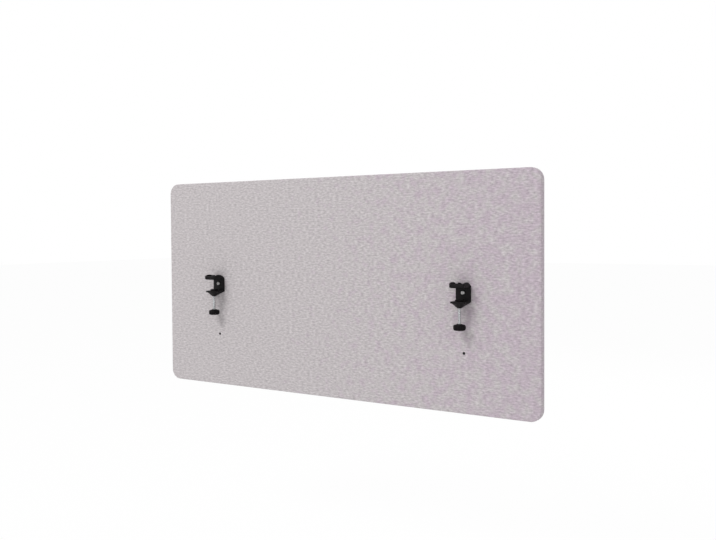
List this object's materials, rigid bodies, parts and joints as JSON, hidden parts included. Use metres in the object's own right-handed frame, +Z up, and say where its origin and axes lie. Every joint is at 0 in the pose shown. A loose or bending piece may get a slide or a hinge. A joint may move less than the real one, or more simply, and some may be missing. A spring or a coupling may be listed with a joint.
{
  "type": "acoustic desk screen",
  "caption": "Fabric-covered acoustic desk screen with rounded corners, hung from a worktop's edge by black screw clamps on its face.",
  "frame": {"origin": "middle of the panel's bottom edge, at half the panel's thickness", "axes": "+X along the panel, +Y from the clamp side through to the back, +Z up"},
  "size_m": [1.2, 0.064, 0.6],
  "materials": {
    "cover_fabric": "woven heather",
    "padding_felt": "needled felt",
    "infill_felt": "pressed acoustic felt",
    "pin_board": "soft fibre board",
    "frame_timber": "planed softwood",
    "insert_steel": "black oxide",
    "screw_steel": "zinc plated",
    "spindle_steel": "bright zinc plated",
    "bracket_black": "satin black powder coat",
    "grip_rubber": "matt",
    "shoe_black": "matt black moulding",
    "knob_black": "matt black moulding"
  },
  "bodies": {
    "panel": {"front_cover": "cover_fabric", "rear_cover": "cover_fabric", "front_padding": "padding_felt", "rear_padding": "padding_felt", "front_board": "pin_board", "rear_board": "pin_board", "top_rail": "frame_timber", "bottom_rail": "frame_timber", "left_stile": "frame_timber", "left_post": "frame_timber", "right_post": "frame_timber", "right_stile": "frame_timber", "frame_dowels": "frame_timber", "infill_left": "infill_felt", "infill_middle": "infill_felt", "infill_right": "infill_felt", "threaded_inserts": "insert_steel", "mount_screws": "screw_steel", "left_bracket": "bracket_black", "left_jaw_pad": "grip_rubber", "right_bracket": "bracket_black", "right_jaw_pad": "grip_rubber"},
    "left_shoe": {"left_pressure_plate": "shoe_black", "left_pad_facing": "grip_rubber"},
    "left_screw": {"left_spindle": "spindle_steel", "left_knob": "knob_black", "left_knob_cap": "knob_black"},
    "right_shoe": {"right_pressure_plate": "shoe_black", "right_pad_facing": "grip_rubber"},
    "right_screw": {"right_spindle": "spindle_steel", "right_knob": "knob_black", "right_knob_cap": "knob_black"}
  },
  "joints": [
    {"name": "left_lift", "type": "slide", "parent": "panel", "child": "left_shoe", "axis": [0, 0, 1], "range_m": [0, 0.028]},
    {"name": "left_turn", "type": "hinge", "parent": "left_shoe", "child": "left_screw", "pos_m": [-0.4, -0.034, 0.25], "axis": [0, 0, 1], "range_deg": [0, 8066]},
    {"name": "right_lift", "type": "slide", "parent": "panel", "child": "right_shoe", "axis": [0, 0, 1], "range_m": [0, 0.028]},
    {"name": "right_turn", "type": "hinge", "parent": "right_shoe", "child": "right_screw", "pos_m": [0.4, -0.034, 0.25], "axis": [0, 0, 1], "range_deg": [0, 8066]}
  ],
  "couplings": [
    {"joint": "left_turn", "follows": "left_lift", "rad_per_m": 5026.5},
    {"joint": "right_turn", "follows": "right_lift", "rad_per_m": 5026.5}
  ]
}
